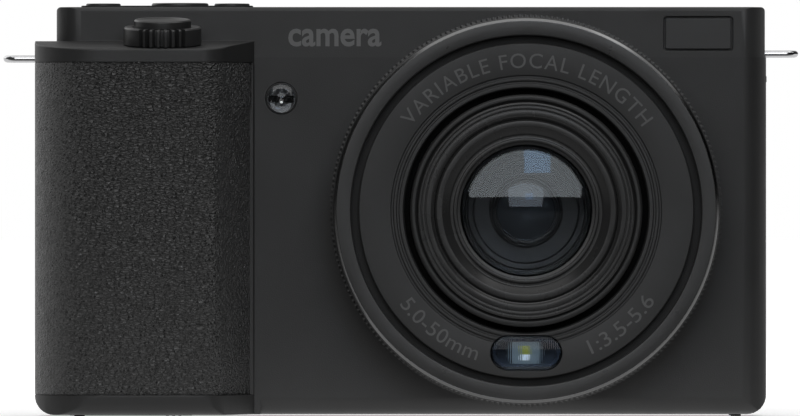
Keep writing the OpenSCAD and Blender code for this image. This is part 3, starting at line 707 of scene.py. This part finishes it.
cup = [(0, -10.9), (0.9, -11.0), (1.7, -11.55), (2.15, -12.2), (2.28, -12.55), (2.42, -12.55),
       (2.42, -10.8), (3.2, -10.8), (3.2, -10), (0, -10)]
piece("af_lamp_cup", lathe(cup, 96, 0.05, LAMP), "cup", "case", 30, ("af_lamp_lens",))
cover = [(0, -12.88), (1.6, -12.86), (2.26, -12.72), (2.26, -12.6), (0, -12.6)]
piece("af_lamp_cover", lathe(cover, 96, 0.03, LAMP), "clear", "case", 30)
rim = [(2.3, -12.85), (2.45, -12.85), (2.45, -12.3), (2.3, -12.3)]
piece("af_lamp_rim", lathe(rim, 96, 0.03, LAMP), "gloss", "case", 30)
in_lamp("af_lamp_bar", (-1.9, -11.9, -0.6), (1.9, -11.3, 0.45), "cavity")
in_lamp("af_lamp_bulb", (-0.22, -12.3, -0.8), (0.22, -11.9, -0.5), "die")


# ---------------------------------------------------------------- printing

CAPITAL = 0.69      # height of the built-in font's capitals at size 1
INK = 0.015         # how far lettering stands off its face, mm


def word(name, text, put, height, mat, body, width=None, weight=0.0, spread=1.0):
    """Flat lettering, its capitals height tall; put(x, y, h) lays the middle of its baseline."""
    data = bpy.data.curves.new(name, "FONT")
    data.body, data.size, data.extrude = text, height / CAPITAL, INK
    data.align_x, data.offset, data.space_character = "CENTER", weight, spread
    data.resolution_u = 4
    o = bpy.data.objects.new(name, data)
    bpy.context.scene.collection.objects.link(o)
    mesh = evaluated(o)
    bpy.data.objects.remove(o)
    span = max(v.co.x for v in mesh.vertices) - min(v.co.x for v in mesh.vertices)
    fit = width / span if width else 1.0
    for v in mesh.vertices:
        v.co = Vector(put(v.co.x * fit, v.co.y, v.co.z)) * MM
    bm = bmesh.new()
    bm.from_mesh(mesh)
    piece(name, from_bmesh(bm), mat, body, 30)


def round_lens(middle, base, inward=False):
    """Bends lettering round the lens; middle is its angle, base the radius of its baseline."""
    turn = 1 if inward else -1

    def put(x, y, h):
        a = math.radians(middle) + turn * x / base
        r = base - turn * y
        return (r * math.cos(a), PLATE_Y - h, AXIS_Z + r * math.sin(a))
    return put


def on_front(x0, z0):
    """Lays lettering on the case's front."""
    return lambda x, y, h: (x0 + x, FRONT_Y - h, z0 + y)


word("print_zoom", "VARIABLE FOCAL LENGTH", round_lens(89.5, 22.9), 2.35, "letter", "case", 43.0,
     spread=1.15)
word("print_focal", "5.0-50mm", round_lens(234, 25.3, True), 2.35, "letter", "case", 15.4)
word("print_stop", "1:3.5-5.6", round_lens(309, 25.3, True), 2.35, "letter", "case", 13.4)
word("print_mark", "camera", on_front(-30.8, 59.4), 3.9, "mark", "case", 15.0, 0.12)


def reach(node, axis):
    """How far the CAD node reaches along an axis, mm."""
    return max(v.co[axis] for v in NODES[node].data.vertices) / MM


def from_behind(node, x0, z0):
    """Lays lettering on the back of a node, which looks towards the photographer."""
    face = reach(node, 1)
    return lambda x, z, h: (x0 - x, face + h, z0 + z)


def from_above(node, x0, y0):
    """Lays lettering on top of a node, to be read by the photographer."""
    face = reach(node, 2)
    return lambda x, y, h: (x0 - x, y0 - y, face + h)


def sign(name, outline, put, mat, body):
    """A small flat printed shape."""
    piece(name, slab(outline, [(0.0, 0), (0.02, 0)], put), mat, body, 30)


def disc(r, n=40):
    """The outline of a round spot."""
    turns = [2 * math.pi * k / n for k in range(n)]
    return [(r * math.cos(a), r * math.sin(a)) for a in turns]


def arrow(turn, x, y, size=0.75):
    """A triangle that points along turn, in degrees."""
    corners = [math.radians(turn + a) for a in (0, 120, 240)]
    return [(x + size * math.cos(a), y + size * math.sin(a)) for a in corners]


word("print_power", "ON", from_above("power_button", -55.8, 0.8), 1.7, "letter", "power_button")
sign("print_record", disc(1.15), from_above("record_button", -47.4, 0), "red", "record_button")
word("print_mode", "M", from_above("mode_button", -68.2, 0.8), 1.6, "letter", "mode_button")
word("print_ok", "OK", from_behind("ok_button", -56, 26.2), 1.6, "letter", "ok_button")
sign("print_play", arrow(0, 0, 0, 1.1), from_behind("play_button", -47, 11), "letter",
     "play_button")
for k in range(3):
    z = 0.7 * k - 0.7
    bar = [(-1, z - 0.15), (1, z - 0.15), (1, z + 0.15), (-1, z + 0.15)]
    sign("print_menu_%d" % k, bar, from_behind("menu_button", -66, 11), "letter", "menu_button")
for k in range(4):
    a = math.radians(90 * k)
    sign("print_pad_%d" % k, arrow(90 * k, 6.4 * math.cos(a), 6.4 * math.sin(a)),
         from_behind("four_way_pad", -56, 27), "letter", "four_way_pad")
glass_y = reach("lcd_glass", 1)
display = slab([(-31, 7.5), (33.5, 7.5), (33.5, 53.8), (-31, 53.8)],
               [(glass_y - 0.05, 0), (glass_y + 0.01, 0)], along_y)
piece("lcd_picture", display, "display", "case", 30)


# ---------------------------------------------------------------- inside

for mat, nodes in {
        "steel": ("chassis", "lcd_module", "door_pin", "usb_port", "focus_rods",
                  "lens_mount_plate", "zoom_motor"),
        "board": ("main_board", "sensor_board"), "brass": ("battery_contacts", "motor_pinion"),
        "matte": ("battery_holder", "shutter_switch", "pad_pivot"), "cavity": ("focus_carrier",),
        "lens": ("rear_lens", "focus_lens"), "white": ("drive_ring",), "sleeve": ("battery",),
        "card": ("memory_card",)}.items():
    for node in nodes:
        plain(node, mat)


# The return spring under the shutter button, on a mesh of its own
spring = piece("shutter_spring_look", NODES["shutter_spring"].data.copy(), "steel", "case", 50,
               ("shutter_spring",))
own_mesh(spring)


# ---------------------------------------------------------------- studio

def area(name, azimuth, elevation, distance, size, radiance, colour=(1, 1, 1)):
    """A soft box aimed at the object, placed by its direction from it, in degrees."""
    data = bpy.data.lights.new(name, "AREA")
    data.shape, data.size, data.size_y = "RECTANGLE", size[0], size[1]
    data.energy = radiance * math.pi * size[0] * size[1]
    data.color = colour
    o = bpy.data.objects.new(name, data)
    bpy.context.scene.collection.objects.link(o)
    a, e = math.radians(azimuth), math.radians(elevation)
    aim = Vector((0, -0.02, 0.035))
    towards = Vector((math.sin(a) * math.cos(e), -math.cos(a) * math.cos(e), math.sin(e)))
    o.location = aim + distance * towards
    o.rotation_euler = (aim - o.location).to_track_quat("-Z", "Y").to_euler()
    o.visible_camera = False


def floor():
    """Pale ground, plain to the camera.

    What the object reflects of it is bright under and behind the object, and dim in front.
    """
    bm = bmesh.new()
    bmesh.ops.create_grid(bm, x_segments=1, y_segments=1, size=60)
    for v in bm.verts:
        v.co.z = -0.37 * MM     # just under the feet
    mesh = bpy.data.meshes.new("floor")
    bm.to_mesh(mesh)
    bm.free()
    obj = bpy.data.objects.new("floor", mesh)
    bpy.context.scene.collection.objects.link(obj)
    n = Nodes("floor_pale")
    n.set(Specular_IOR_Level=0.1, Emission_Color=(1, 1, 1, 1))
    away = n.add("ShaderNodeVectorMath", operation="LENGTH")
    n.link(n.place, away.inputs[0])
    n.link(n.remap(away.outputs["Value"], 0.42, 0.9, 0.1, 0.5),
           n.shader.inputs["Emission Strength"])
    n.link(n.shade(grey(0.84), grey(0.88), n.noise(6)), n.shader.inputs["Base Color"])
    n.link(n.remap(n.noise(30), 0.6, 0.7), n.shader.inputs["Roughness"])
    dim = n.add("ShaderNodeEmission")
    split = n.add("ShaderNodeSeparateXYZ")
    n.link(n.place, split.inputs[0])
    n.link(n.remap(split.outputs["Y"], 0.08, 0.85, -0.055, -0.018), dim.inputs["Strength"])
    path, mix = n.add("ShaderNodeLightPath"), n.add("ShaderNodeMixShader")
    n.link(path.outputs["Is Camera Ray"], mix.inputs["Fac"])
    n.link(dim.outputs[0], mix.inputs[1])
    n.link(n.shader.outputs[0], mix.inputs[2])
    n.link(mix.outputs[0], n.tree.nodes["Material Output"].inputs["Surface"])
    mesh.materials.append(n.mat)


def studio():
    """A pale room, bright behind the object and at its left end, and five soft boxes.

    The camera itself sees plain white.
    """
    world = bpy.data.worlds.new("studio")
    bpy.context.scene.world = world
    world.use_nodes = True
    t = world.node_tree
    seen = t.nodes["Background"]
    seen.inputs["Color"].default_value = (1, 1, 1, 1)
    lit = t.nodes.new("ShaderNodeBackground")
    place = t.nodes.new("ShaderNodeTexCoord")
    split = t.nodes.new("ShaderNodeSeparateXYZ")
    t.links.new(place.outputs["Generated"], split.inputs[0])

    def along(axis, start, end, low, high, shape="LINEAR"):
        n = t.nodes.new("ShaderNodeMapRange")
        n.interpolation_type = shape
        for key, value in zip(("From Min", "From Max", "To Min", "To Max"),
                              (start, end, low, high)):
            n.inputs[key].default_value = value
        t.links.new(split.outputs[axis], n.inputs["Value"])
        return n.outputs["Result"]

    both = t.nodes.new("ShaderNodeMath")
    both.operation = "MULTIPLY"
    t.links.new(along("Y", 0.15, 0.8, 0.05, 1.0, "SMOOTHSTEP"), both.inputs[0])
    t.links.new(along("X", -0.6, 0.6, 1.0, 0.06), both.inputs[1])
    t.links.new(both.outputs[0], lit.inputs["Strength"])
    path, mix = t.nodes.new("ShaderNodeLightPath"), t.nodes.new("ShaderNodeMixShader")
    t.links.new(path.outputs["Is Camera Ray"], mix.inputs["Fac"])
    t.links.new(lit.outputs[0], mix.inputs[1])
    t.links.new(seen.outputs[0], mix.inputs[2])
    t.links.new(mix.outputs[0], t.nodes["World Output"].inputs["Surface"])
    area("key", 0, 29, 1.3, (1.05, 1.16), 2.05)
    area("over", 0, 86, 1.2, (1.6, 1.0), 1.3)
    area("left", -138, 32, 1.2, (1.0, 1.0), 0.7)
    area("right", 98, 54, 1.2, (0.5, 0.7), 0.8)
    area("pane", 4.6, 18, 1.2, (0.2, 0.18), 2.2, (0.3, 0.6, 1.0))


floor()
studio()

FOCAL, SENSOR = 850, 36         # a long lens, so that the view is nearly parallel; mm
VIEW_WIDTH = 800 / 6.2 * MM     # how much the picture spans at the object
cam_data = bpy.data.cameras.new("camera")
cam_data.lens = FOCAL
cam_data.sensor_width = SENSOR
cam_data.clip_start, cam_data.clip_end = 0.1, 20
camera = bpy.data.objects.new("camera", cam_data)
bpy.context.scene.collection.objects.link(camera)
camera.location = (-20.24 * MM, -(VIEW_WIDTH * FOCAL / SENSOR) - 0.008, 33.23 * MM)
camera.rotation_euler = (math.pi / 2, 0, 0)
bpy.context.scene.camera = camera
bpy.context.scene.view_settings.view_transform = "Standard"
